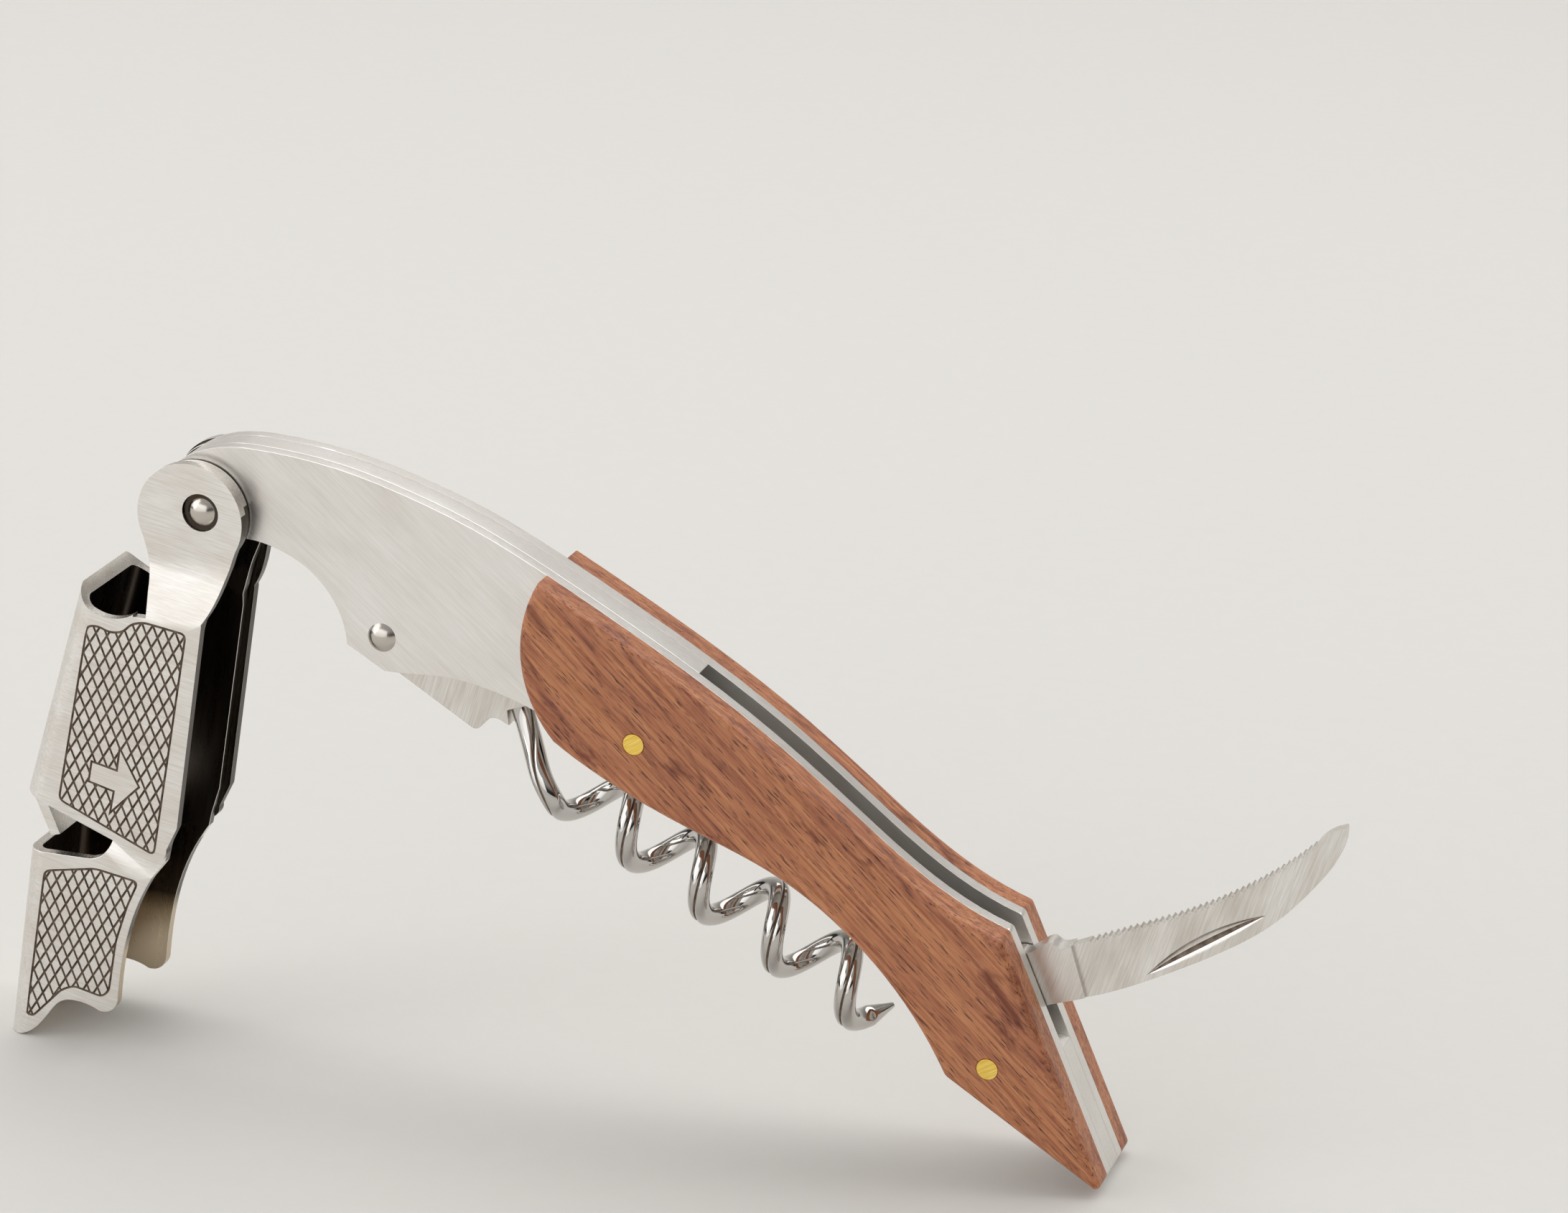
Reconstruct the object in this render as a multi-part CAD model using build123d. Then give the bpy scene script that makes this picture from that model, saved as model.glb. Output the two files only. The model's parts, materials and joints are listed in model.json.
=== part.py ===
"""Waiter's corkscrew with a double-hinged lever, a folding worm and a serrated foil knife.

Everything is drawn in the handle's own frame: the origin is just above the lever rivet, X runs
along the handle to its tail and Z towards its spine. The levers and the knife are drawn about their
own pivots. At the end the whole tool is tipped so that it stands on the long lever and the tail.
"""

from build123d import *
from math import atan2, cos, degrees, hypot, radians, sin
import os

# ---- driving dimensions, millimetres and degrees ----

liner_thickness = 1.5
slot_width = 2.8  # space between the two liners
scale_thickness = 3.35
scale_edge_round = 0.45  # under tail_round, so the rounded edge runs on round the tail
running_gap = 0.05  # radial clearance of a hole on its pin
side_gap = 0.1  # clearance between plates that slide past each other
fit_gap = 0.01  # radial clearance of a hole on a pin that doesn't turn in it

handle_length = 117.8  # from the head to the tail tip
tail_tip_height = 16.8
corner = (91.0, 30.0)  # where the spine turns down to the tail
heel = (97.1, 13.8)  # where the belly turns out to the tail
corner_round = 0.7
tail_round = 0.5
heel_round = 1.5
wood_front_radius = 14.9
wood_front_centre = (45.7, 24.1)
slot_start = 49.5
tail_spacer_start = (103.8, 24.3)

lever_pivot = (-0.25, -1.17)
worm_pivot = (22.7, 2.1)
knife_pivot = (95.0, 23.5)
front_pin_at = (49.8, 16.2)
rear_pin_at = (99.6, 18.2)
liner_pins_at = [(39.5, 17.5), (104.5, 20.2), (110.5, 19.2)]

lever_rivet_radius = 1.5
lever_rivet_shoulder = 2.05
lever_rivet_dome = 1.55
worm_rivet_radius = 1.1
worm_rivet_head = 1.6
rivet_dome_height = 0.7
scale_pin_radius = 1.15
knife_pin_radius = 1.3
liner_pin_radius = 0.9

worm_outer_diameter = 9.0
worm_wire = 2.35
worm_pitch = 9.5
worm_turns = 4.2
worm_tilt = 10.0  # the folded worm climbs towards the tail
worm_axis_drop = 2.1  # the axis passes this far below the worm's pivot
worm_first_low = 26.8  # along the axis from the pivot to the underside of the first turn
worm_swing_out = 98.0  # room is left for the carrier to turn this far
worm_lead_angle = 45.0  # the lead meets the winding this far before the first underside
worm_root = (38.2, 6.55)  # where the wire leaves the carrier
worm_root_slope = 30.0
worm_tip_length = 3.2
worm_tip_radius = 0.3
carrier_lobe = 3.2

lever_plate = 1.1
outer_lever_width = 14.5
boot_width = 13.3
outer_bend = 2.6  # outside radius of the channel's bends
boot_bend = 2.3
lever_swing = 41.0  # from the attitude the levers are drawn in to the handle's frame
lever_washer_thickness = 0.2
ear_centre = (-1.3, -0.8)
ear_radius = 6.1
outer_neck_bend = (-6.0, -12.0)  # the ears' necks spread to the channel's width between these
inner_neck_bend = (-8.0, -14.0)
web_top = (-14.5, -9.4)
web_foot = (-22.3, -34.0)
lifter_centre = (-10.2, -8.9)
lifter_reach = (4.3, 3.6)  # the half-oval notch across the channel under the neck
neck_foot_left = (-6.1, -9.1)
outer_right_top = (0.4, -12.3)
outer_right_foot = (-3.6, -36.0)
outer_foot_left = (-21.4, -34.4)
outer_foot_right = (-7.0, -40.2)
tongue_half_width = 4.6
tongue_bend = (-22.05, -35.9)
tongue_tip = (-20.4, -40.1)
boot_top = (-22.6, -41.3)
boot_toe = (-26.4, -63.9)
joggle_gap = 0.7  # from the outer lever's foot to where the arms start to spread
joggle_length = 1.4

blade_thickness = 1.4
tang_gap = 0.05  # between the tang's washers and the liners, each side
tang_round = 4.2
knife_washer_thickness = 0.15
serration_pitch = 0.72
serration_depth = 0.32

spring_eye_radius = 4.0

# ---- layers across the handle, measured out from the middle plane ----

slot_half = slot_width / 2
liner_face = slot_half + liner_thickness
wood_face = liner_face + scale_thickness
tang_thickness = slot_width - 2 * (knife_washer_thickness + tang_gap)
outer_lever_face = outer_lever_width / 2
outer_lever_inside = outer_lever_face - lever_plate
arm_face = outer_lever_inside - side_gap
arm_inside = arm_face - lever_plate
inner_ear_inside = liner_face + lever_washer_thickness + 0.02
inner_ear_face = inner_ear_inside + lever_plate
outer_ear_inside = inner_ear_face + side_gap
outer_ear_face = outer_ear_inside + lever_plate
boot_face = boot_width / 2
boot_inside = boot_face - lever_plate


# ---- helpers ----


def plate(face, low, high):
    """A face drawn in X and Z, made solid from Y = low to Y = high."""
    return extrude(Plane.XZ.offset(-high) * face, amount=high - low)


def disc(centre, radius):
    return Pos(*centre) * Circle(radius)


def polygon(*points):
    return make_face(Polyline(*points, close=True))


def shaft(centre, radius, low, high):
    return plate(disc(centre, radius), low, high)


def dome(centre, radius, height, base, side):
    """A round head: the cap of a sphere standing on Y = base, side -1 near and +1 far."""
    ball_radius = (radius**2 + height**2) / (2 * height)
    ball = Pos(centre[0], side * (base + height - ball_radius), centre[1]) * Sphere(ball_radius)
    keep = shaft(centre, radius + 1, *sorted((side * base, side * (base + height + 1))))
    return ball & keep


def turned(point, centre, angle):
    """A point turned about a centre, anticlockwise as seen from the near side."""
    a = radians(angle)
    dx = point[0] - centre[0]
    dz = point[1] - centre[1]
    return (centre[0] + dx * cos(a) - dz * sin(a), centre[1] + dx * sin(a) + dz * cos(a))


# ---- outlines of the handle ----


def handle_outline():
    tail = (handle_length, tail_tip_height)
    spine = Spline(
        corner, (80, 27.4), (70, 26.9), (60, 26.4), (50, 25.2), (40, 23.4), (30, 21.3),
        (22, 19.2), (14, 16.2), (7, 12.8), (0.5, 8.5), (-4.0, 4.3), (-5.9, 0.2),
    )
    head = ThreePointArc((-5.9, 0.2), (-4.6, -4.9), (1.0, -6.5))
    arch = Spline((1.0, -6.5), (2.7, -3.9), (4.4, -1.5), (7.6, 0.6), (12.8, 1.75), (17.6, 0.6), (20.4, -1.5))
    lobe = Line((20.4, -1.5), (25.3, -0.65))
    choil = Spline((25.3, -0.65), (27.8, 1.6), (30.4, 4.0), (33.2, 5.9), (36.8, 7.7), (41.0, 9.2))
    belly = Spline((41.0, 9.2), (49.6, 10.3), (60, 13.3), (70, 16.6), (79, 17.6), (87, 16.9), heel)
    underside = Line(heel, tail)
    end = Line(tail, corner)
    outline = make_face(spine + head + arch + lobe + choil + belly + underside + end)
    for at, radius in ((corner, corner_round), (tail, tail_round), (heel, heel_round)):
        nearest = min(outline.vertices(), key=lambda v: hypot(v.X - at[0], v.Y - at[1]))
        outline = fillet([nearest], radius)
    return outline


def wood_outline(handle):
    """The handle's outline behind the round front of the scales."""
    start = wood_front_centre[0]
    behind = polygon((start, -10), (130, -10), (130, 50), (start, 50))
    return handle & (disc(wood_front_centre, wood_front_radius) + behind)


# ---- liners, scales and what lies between the liners ----


def liner(handle, side):
    body = plate(handle, *sorted((side * slot_half, side * liner_face)))
    holes = [(lever_pivot, lever_rivet_radius), (worm_pivot, worm_rivet_radius)]
    holes += [(front_pin_at, scale_pin_radius), (rear_pin_at, scale_pin_radius)]
    holes += [(knife_pivot, knife_pin_radius)]
    holes += [(at, liner_pin_radius) for at in liner_pins_at]
    for at, radius in holes:
        body -= shaft(at, radius + fit_gap, -wood_face, wood_face)
    return body


def wood_scale(outline, side):
    body = plate(outline, *sorted((side * liner_face, side * wood_face)))
    rim = body.faces().sort_by(Axis.Y)[0 if side < 0 else -1]
    body = fillet(rim.edges(), scale_edge_round)
    for at in (front_pin_at, rear_pin_at):
        body -= shaft(at, scale_pin_radius + fit_gap, -wood_face, wood_face)
    return body


def spine_spacer(handle):
    """Fills the slot from the head to the start of the knife's slot, above the worm's bay."""
    reach = polygon((-20, -20), (43.8, -20), (43.8, 21.3), (slot_start, 21.3), (slot_start, 40), (-20, 40))
    bay = disc(worm_pivot, carrier_lobe + 0.35)
    ceiling_start = (worm_pivot[0], worm_pivot[1] + carrier_lobe + 0.35)
    ceiling_end = (43.9, 11.4)
    lean = radians(worm_swing_out - 90)
    left = (worm_pivot[0] - (carrier_lobe + 0.35) * cos(lean), worm_pivot[1] + (carrier_lobe + 0.35) * sin(lean))
    bay += polygon(ceiling_start, ceiling_end, (44.0, -10), (left[0] - 12 * sin(lean), -10), left)
    body = plate((handle & reach) - bay, -slot_half, slot_half)
    body -= shaft(lever_pivot, lever_rivet_radius + fit_gap, -slot_half, slot_half)
    body -= shaft(liner_pins_at[0], liner_pin_radius + fit_gap, -slot_half, slot_half)
    return body


def tail_spacer(handle):
    """Fills the slot at the tail; its chamfered start is the knife's last stop."""
    x, z = tail_spacer_start
    reach = polygon((x, z + 1), (x, z - 0.6), (98.2, 20.6), (98.2, 5), (130, 5), (130, z + 1))
    body = plate(handle & reach, -slot_half, slot_half)
    body -= shaft(rear_pin_at, scale_pin_radius + fit_gap, -slot_half, slot_half)
    for at in liner_pins_at[1:]:
        body -= shaft(at, liner_pin_radius + fit_gap, -slot_half, slot_half)
    return body


def knife_spring():
    """Leaf spring under the knife: an eye on the front pin and an arm that reaches below the tang."""
    half = slot_half - side_gap
    top = Spline((52.0, 19.6), (58, 20.6), (72, 20.9), (84, 20.4), (97.2, 18.7))
    tip = Line((97.2, 18.7), (97.2, 16.9))
    bottom = Spline((97.2, 16.9), (88, 17.6), (78, 18.5), (66, 17.8), (53.0, 13.8))
    inner = Line((53.0, 13.8), (52.0, 19.6))
    arm = make_face(top + tip + bottom + inner)
    body = plate(disc(front_pin_at, spring_eye_radius) + arm, -half, half)
    return body - shaft(front_pin_at, scale_pin_radius + running_gap, -half, half)


def through_pin(centre, radius, half_length):
    return shaft(centre, radius, -half_length, half_length)


def liner_pins():
    """The hidden pins that hold the liners to their spacers, all alike."""
    pins = through_pin(liner_pins_at[0], liner_pin_radius, liner_face)
    for at in liner_pins_at[1:]:
        pins += through_pin(at, liner_pin_radius, liner_face)
    return pins


# ---- worm ----


def worm_carrier():
    """Flat shank that the worm's wire is welded to, with a tooth and a round notch."""
    half = slot_half - side_gap
    w, h = worm_pivot
    slope = radians(worm_root_slope)
    across = (sin(slope) * worm_wire / 2, cos(slope) * worm_wire / 2)
    butt_low = (worm_root[0] - across[0], worm_root[1] - across[1])
    butt_high = (worm_root[0] + across[0], worm_root[1] + across[1])
    tooth_tip = (w + 13.5, h - 1.1)
    lower = Line((w + 0.5, h - 3.15), tooth_tip)
    tooth = ThreePointArc(tooth_tip, (w + 14.0, h - 0.6), (w + 13.9, h + 0.2))
    notch = ThreePointArc((w + 13.9, h + 0.2), (w + 14.45, h + 1.6), (w + 15.6, h + 2.1))
    finger = Polyline((w + 15.6, h + 2.1), (w + 16.2, h + 2.3), butt_low, butt_high, (w + 11.5, h + 4.9))
    upper = Line((w + 11.5, h + 4.9), (w - 0.5, h + 3.15))
    back = Line((w - 0.5, h + 3.15), (w + 0.5, h - 3.15))
    blank = make_face(lower + tooth + notch + finger + upper + back)
    body = plate(disc(worm_pivot, carrier_lobe) + blank, -half, half)
    return body - shaft(worm_pivot, worm_rivet_radius + running_gap, -half, half)


def worm():
    """Round wire: it leaves the carrier, swings to the near side and winds on to a point."""
    wire_radius = worm_wire / 2
    radius = worm_outer_diameter / 2 - wire_radius
    tilt = radians(worm_tilt)
    along = Vector(cos(tilt), 0, sin(tilt))
    foot = Vector(worm_pivot[0], 0, worm_pivot[1] - worm_axis_drop)
    start = foot + along * (worm_first_low - worm_pitch * worm_lead_angle / 360)
    near = Vector(0, -1, 0)
    down = along.cross(near)
    turn = radians(90 - worm_lead_angle)
    winding = Plane(origin=start, x_dir=near * cos(turn) + down * sin(turn), z_dir=along)
    helix = Helix(worm_pitch, worm_pitch * worm_turns, radius).moved(winding.location)
    root = Vector(worm_root[0], 0, worm_root[1])
    slope = radians(worm_root_slope)
    root_direction = Vector(cos(slope), 0, -sin(slope))
    lead = Spline(
        root, (40.6, -0.6, 5.4), (43.1, -1.8, 4.4), (45.5, -2.9, 3.5), helix @ 0,
        tangents=[root_direction, helix % 0],
    )
    path = Wire([lead, helix])
    section = Plane(origin=root, z_dir=root_direction) * Circle(wire_radius)
    body = sweep(section, path=path, is_frenet=True)
    point_base = Plane(origin=helix @ 1, z_dir=helix % 1)
    point = point_base * Pos(0, 0, worm_tip_length / 2) * Cone(wire_radius, worm_tip_radius, worm_tip_length)
    return body + point


# ---- rivets and washers ----


def worm_rivet():
    body = through_pin(worm_pivot, worm_rivet_radius, liner_face)
    for side in (-1, 1):
        body += dome(worm_pivot, worm_rivet_head, rivet_dome_height, liner_face, side)
    return body


def lever_rivet():
    """Shaft through the head, a shoulder in each outer ear and a domed end on each shoulder."""
    step = inner_ear_face + side_gap / 2
    body = through_pin(lever_pivot, lever_rivet_radius, step)
    shoulder_top = outer_ear_face - 0.35
    for side in (-1, 1):
        body += shaft(lever_pivot, lever_rivet_shoulder, *sorted((side * step, side * shoulder_top)))
        body += dome(lever_pivot, lever_rivet_dome, rivet_dome_height, shoulder_top, side)
    return body


def lever_washer(side):
    """Thin ring between the bolster and the inner ear."""
    ring = disc(lever_pivot, 3.9) - disc(lever_pivot, lever_rivet_radius + fit_gap)
    inside = liner_face + 0.01
    return plate(ring, *sorted((side * inside, side * (inside + lever_washer_thickness))))


def knife_washer(side):
    ring = disc(knife_pivot, tang_round - 0.3) - disc(knife_pivot, knife_pin_radius + fit_gap)
    inside = tang_thickness / 2 + 0.02
    return plate(ring, *sorted((side * inside, side * (inside + knife_washer_thickness))))


# ---- levers, drawn about their rivet as they hang when the tool stands ----


def channel(outline, face, inside, web_line, bend):
    """A U channel: the outline at full width, hollowed behind a web along web_line."""
    solid = plate(outline, -face, face)
    top, foot = web_line
    length = ((foot[0] - top[0]) ** 2 + (foot[1] - top[1]) ** 2) ** 0.5
    across = ((top[1] - foot[1]) / length, (foot[0] - top[0]) / length)
    down = ((foot[0] - top[0]) / length, (foot[1] - top[1]) / length)
    reach = 30

    def behind(depth, half):
        a = (top[0] + across[0] * depth - down[0] * reach, top[1] + across[1] * depth - down[1] * reach)
        b = (foot[0] + across[0] * depth + down[0] * reach, foot[1] + across[1] * depth + down[1] * reach)
        c = (b[0] + across[0] * 60, b[1] + across[1] * 60)
        d = (a[0] + across[0] * 60, a[1] + across[1] * 60)
        block = plate(polygon(a, b, c, d), -half, half)
        left = [e for e in block.edges() if e.distance_to(Vector(a[0], 0, a[1])) < half + 0.01]
        left = [e for e in left if e.distance_to(Vector(b[0], 0, b[1])) < half + 0.01]
        return block, left

    room, room_edges = behind(lever_plate, inside)
    room = fillet(room_edges, bend - lever_plate)
    shell, shell_edges = behind(0, face)
    shell = fillet(shell_edges, bend)
    return (solid & shell) - room


def sloped_plates(outline, ear_inside, inside, bend, foot):
    """Both side plates of a lever: close together at the ears, wider below the bend."""
    top, low = bend
    pair = Part()
    for side in (-1, 1):
        section = polygon(
            (side * ear_inside, 10),
            (side * (ear_inside + lever_plate), 10),
            (side * (ear_inside + lever_plate), top),
            (side * (inside + lever_plate), low),
            (side * (inside + lever_plate), foot),
            (side * inside, foot),
            (side * inside, low),
            (side * ear_inside, top),
        )
        pair += extrude(Plane.YZ.offset(-50) * section, amount=100)
    return plate(outline, -outer_lever_face, outer_lever_face) & pair


def first_step_lever():
    """The short outer lever: ears, cap lifter, channel and the tongue that feeds into the boot."""
    neck_foot_right = (outer_right_top[0], outer_neck_bend[1])
    neck = make_face(
        Spline((-6.9, -3.2), (-6.45, -5.0), (-6.1, -7.2), neck_foot_left)
        + Polyline(neck_foot_left, (neck_foot_left[0], neck_foot_right[1]), neck_foot_right)
        + Spline(neck_foot_right, (1.9, -9.4), (3.1, -6.2), (4.4, -2.9))
        + Line((4.4, -2.9), (-6.9, -3.2))
    )
    panel = make_face(
        Polyline(web_top, web_foot, outer_foot_left, outer_foot_right)
        + ThreePointArc(outer_foot_right, (-5.5, -39.9), (-5.0, -38.7))
        + Polyline((-5.0, -38.7), outer_right_foot, outer_right_top, neck_foot_right)
        + Polyline(neck_foot_right, (-4.0, neck_foot_right[1]), (-4.0, web_top[1]), web_top)
    )
    notch = Pos(*lifter_centre) * Ellipse(*lifter_reach)
    above_foot = polygon((-30, neck_foot_right[1]), (30, neck_foot_right[1]), (30, 30), (-30, 30))
    strap = polygon(
        (neck_foot_left[0] - 1.5, -30), (30, -30), (30, neck_foot_right[1] + 9), (neck_foot_left[0] - 1.5, 9)
    )
    side = panel - notch - (above_foot & strap)
    body = channel(side, outer_lever_face, outer_lever_inside, (web_top, web_foot), outer_bend)
    upper = neck + disc(ear_centre, ear_radius)
    body += sloped_plates(upper, outer_ear_inside, outer_lever_inside, outer_neck_bend, -13)
    tongue = polygon(
        (web_foot[0] + 0.3, web_foot[1] + 1.0),
        web_foot,
        tongue_bend,
        tongue_tip,
        (tongue_tip[0] + lever_plate, tongue_tip[1] + 0.3),
        (tongue_bend[0] + lever_plate, tongue_bend[1] + 0.4),
        (web_foot[0] + lever_plate + 0.3, web_foot[1] + 1.0),
    )
    body += plate(tongue, -tongue_half_width, tongue_half_width)
    return body - shaft((0, 0), lever_rivet_shoulder + running_gap, -outer_lever_face, outer_lever_face)


def second_step_lever():
    """The long inner lever: two arms inside the outer channel, spread at the foot to a boot."""
    boot = make_face(
        Line(boot_top, boot_toe)
        + Line(boot_toe, (-25.2, -64.0))
        + Spline((-25.2, -64.0), (-22.5, -62.7), (-20.8, -60.7), (-19.2, -59.1), (-17.4, -58.8), (-14.6, -59.6))
        + ThreePointArc((-14.6, -59.6), (-12.9, -59.2), (-12.2, -57.9))
        + Spline((-12.2, -57.9), (-11.0, -51.4), (-9.5, -46.9), (-7.3, -42.7))
        + Polyline((-7.3, -42.7), (-5.8, -40.7), (-5.4, -39.1), (-12.1, -39.1))
        + ThreePointArc((-12.1, -39.1), (-13.2, -40.7), (-15.2, -41.3))
        + Line((-15.2, -41.3), boot_top)
    )
    arm = polygon(
        (-6.3, -3.8), (4.0, -3.0), (1.2, -9.2), (-0.2, -12.5), (-4.3, -36.0), (-5.4, -39.1), (-12.1, -39.1),
        (-6.2, -9.5),
    )
    outline = boot + arm + disc(ear_centre, ear_radius - 0.2)
    whole = plate(outline, -boot_face, boot_face)
    boot_shell = channel(outline, boot_face, boot_inside, (boot_top, boot_toe), boot_bend)
    arms = sloped_plates(outline, inner_ear_inside, arm_inside, inner_neck_bend, -70)
    foot_angle = atan2(outer_foot_left[1] - outer_foot_right[1], outer_foot_right[0] - outer_foot_left[0])
    foot_line = Pos(outer_foot_right[0], 0, outer_foot_right[1]) * Rot(0, degrees(foot_angle), 0)
    reach = 80
    spread_end = joggle_gap + joggle_length
    below_spread = foot_line * Pos(0, 0, -spread_end - reach / 2) * Box(2 * reach, boot_width, reach)
    above_spread = foot_line * Pos(0, 0, -joggle_gap + reach / 2) * Box(2 * reach, boot_width, reach)
    body = (boot_shell & below_spread) + (arms & above_spread)
    for side in (-1, 1):
        section = polygon(
            (side * arm_inside, -joggle_gap),
            (side * arm_face, -joggle_gap),
            (side * boot_face, -spread_end),
            (side * boot_inside, -spread_end),
        )
        body += whole & (foot_line * extrude(Plane.YZ.offset(-reach) * section, amount=2 * reach))
    return body - shaft((0, 0), lever_rivet_radius + running_gap, -boot_face, boot_face)


# ---- knife, drawn open about its pivot ----


def knife_blade():
    """Hawkbill blade with a thick tang, a small kick and fine teeth on the hollow edge."""
    tip = (11.9, 40.4)
    edge = Spline((2.3, 10.3), (4.8, 15.7), (7.3, 21.3), (9.35, 27.4), (10.7, 34.0), (11.0, 37.2))
    point = Spline((11.0, 37.2), (11.2, 39.0), tip)
    back = Spline(
        tip, (12.9, 39.1), (14.1, 34.0), (14.0, 26.5), (12.5, 20.2), (10.4, 14.2), (8.0, 8.5), (5.4, 4.0),
    )
    root = Line((5.4, 4.0), (0.5, 6.5))
    kick = Line((0.5, 6.5), (2.3, 10.3))
    body = plate(make_face(edge + point + back + root + kick), -blade_thickness / 2, blade_thickness / 2)
    tang = make_face(
        Line((-3.9, 1.6), (-1.4, 4.6))
        + Spline((-1.4, 4.6), (-0.5, 6.7), (0.1, 7.9), (0.8, 8.0), (1.35, 8.5), (1.7, 9.2))
        + Line((1.7, 9.2), (6.6, 6.1))
        + Spline((6.6, 6.1), (5.4, 4.0), (4.4, 2.2), (3.6, -2.2))
        + Line((3.6, -2.2), (-3.9, 1.6))
    )
    tang += Circle(tang_round)
    body += plate(tang, -tang_thickness / 2, tang_thickness / 2)
    length = edge.length
    count = int(length / serration_pitch)
    for n in range(count):
        at = edge @ ((n + 0.5) / count)
        tooth_gap = shaft((at.X, at.Y), serration_depth, -tang_thickness, tang_thickness)
        body -= tooth_gap
    nick = thumb_nick()
    body -= nick
    body -= shaft((0, 0), knife_pin_radius + running_gap, -tang_thickness, tang_thickness)
    return Pos(knife_pivot[0], 0, knife_pivot[1]) * body


def thumb_nick():
    """The long nail groove near the back, cut into the near face only."""
    start = (9.2, 12.8)
    end = (12.9, 27.2)
    upper_side = ThreePointArc(start, (10.0, 20.5), end)
    lower_side = ThreePointArc(end, (11.6, 19.8), start)
    spindle = make_face(upper_side + lower_side)
    return plate(spindle, -blade_thickness / 2 - 1, -blade_thickness / 2 + 0.35)


# ---- assembly ----

handle = handle_outline()
wood = wood_outline(handle)
hang = Pos(lever_pivot[0], 0, lever_pivot[1]) * Rot(0, -lever_swing, 0)

nodes = {
    "liner_near": liner(handle, -1),
    "liner_far": liner(handle, 1),
    "spine_spacer": spine_spacer(handle),
    "tail_spacer": tail_spacer(handle),
    "knife_spring": knife_spring(),
    "scale_near": wood_scale(wood, -1),
    "scale_far": wood_scale(wood, 1),
    "scale_pin_front": through_pin(front_pin_at, scale_pin_radius, wood_face),
    "scale_pin_rear": through_pin(rear_pin_at, scale_pin_radius, wood_face),
    "liner_pins": liner_pins(),
    "worm": worm(),
    "worm_carrier": worm_carrier(),
    "worm_rivet": worm_rivet(),
    "lever_rivet": lever_rivet(),
    "lever_washer_near": lever_washer(-1),
    "lever_washer_far": lever_washer(1),
    "first_step_lever": hang * first_step_lever(),
    "second_step_lever": hang * second_step_lever(),
    "knife_blade": knife_blade(),
    "knife_pin": through_pin(knife_pivot, knife_pin_radius, liner_face),
    "knife_washer_near": knife_washer(-1),
    "knife_washer_far": knife_washer(1),
}

# the tool stands on the toe of the boot and the tip of the tail
toe_from_rivet = turned(boot_toe, (0, 0), lever_swing)
toe = (lever_pivot[0] + toe_from_rivet[0], lever_pivot[1] + toe_from_rivet[1])
tail = (handle_length, tail_tip_height)
stand_angle = degrees(atan2(tail[1] - toe[1], tail[0] - toe[0]))
stand = Rot(0, stand_angle, 0)
boxes = [(stand * shape).bounding_box() for shape in nodes.values()]
low_x = min(b.min.X for b in boxes)
high_x = max(b.max.X for b in boxes)
low_z = min(b.min.Z for b in boxes)
placed = Pos(-(low_x + high_x) / 2, 0, -low_z) * stand

os.makedirs("parts", exist_ok=True)
for name, shape in nodes.items():
    export_step(placed * shape, f"parts/{name}.step")

for name, at in [("lever", lever_pivot), ("worm", worm_pivot), ("knife", knife_pivot), ("spring", front_pin_at)]:
    spot = (placed * Pos(at[0], 0, at[1])).position
    print(f"{name} pivot at x {spot.X:.4f} z {spot.Z:.4f}")
print(f"stands {stand_angle:.3f} degrees down from the handle's own frame")
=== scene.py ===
import json
import math

import bmesh
import bpy
import numpy as np
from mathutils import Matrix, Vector, geometry


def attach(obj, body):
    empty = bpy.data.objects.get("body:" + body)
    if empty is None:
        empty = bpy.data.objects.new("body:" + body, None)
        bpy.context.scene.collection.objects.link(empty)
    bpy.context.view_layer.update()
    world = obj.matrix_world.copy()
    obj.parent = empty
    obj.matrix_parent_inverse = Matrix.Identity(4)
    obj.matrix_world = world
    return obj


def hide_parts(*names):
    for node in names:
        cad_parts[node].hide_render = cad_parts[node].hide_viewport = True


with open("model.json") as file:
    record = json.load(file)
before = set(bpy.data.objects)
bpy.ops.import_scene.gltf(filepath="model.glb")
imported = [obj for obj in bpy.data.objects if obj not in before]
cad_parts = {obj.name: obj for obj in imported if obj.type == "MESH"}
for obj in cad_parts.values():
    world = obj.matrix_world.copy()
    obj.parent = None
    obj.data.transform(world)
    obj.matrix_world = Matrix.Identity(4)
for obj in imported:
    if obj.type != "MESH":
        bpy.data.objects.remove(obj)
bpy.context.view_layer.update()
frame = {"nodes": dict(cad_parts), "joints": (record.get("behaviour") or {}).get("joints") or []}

mm = 0.001
pivots = {joint["name"]: Vector(joint["pos_m"]) for joint in frame["joints"]}
leverPivot = pivots["lever_hinge"]
wormPivot = pivots["worm_hinge"]
handleAngle = math.radians(-41.006)  # the handle slopes down to its tail
handleAxis = Vector((math.cos(handleAngle), 0, math.sin(handleAngle)))
handleUp = Vector((-math.sin(handleAngle), 0, math.cos(handleAngle)))
wormPivotOnHandle = (22.7, 2.1)
print("frame loaded:", len(frame["nodes"]), "nodes")


def onHandle(along, across, up):
    # a point given along the handle, across it and towards its spine, in mm
    u = (along - wormPivotOnHandle[0]) * mm
    v = (up - wormPivotOnHandle[1]) * mm
    return wormPivot + handleAxis * u + handleUp * v + Vector((0, across * mm, 0))


def onLever(points):
    # x and z from the lever rivet, in mm, to x and z of the whole tool, in mm
    return [(leverPivot.x / mm + x, leverPivot.z / mm + z) for x, z in points]


# materials


def colour(code):
    channels = [int(code[i:i + 2], 16) / 255 for i in (1, 3, 5)]
    linear = [c / 12.92 if c <= 0.04045 else ((c + 0.055) / 1.055) ** 2.4 for c in channels]
    return (*linear, 1)


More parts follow.
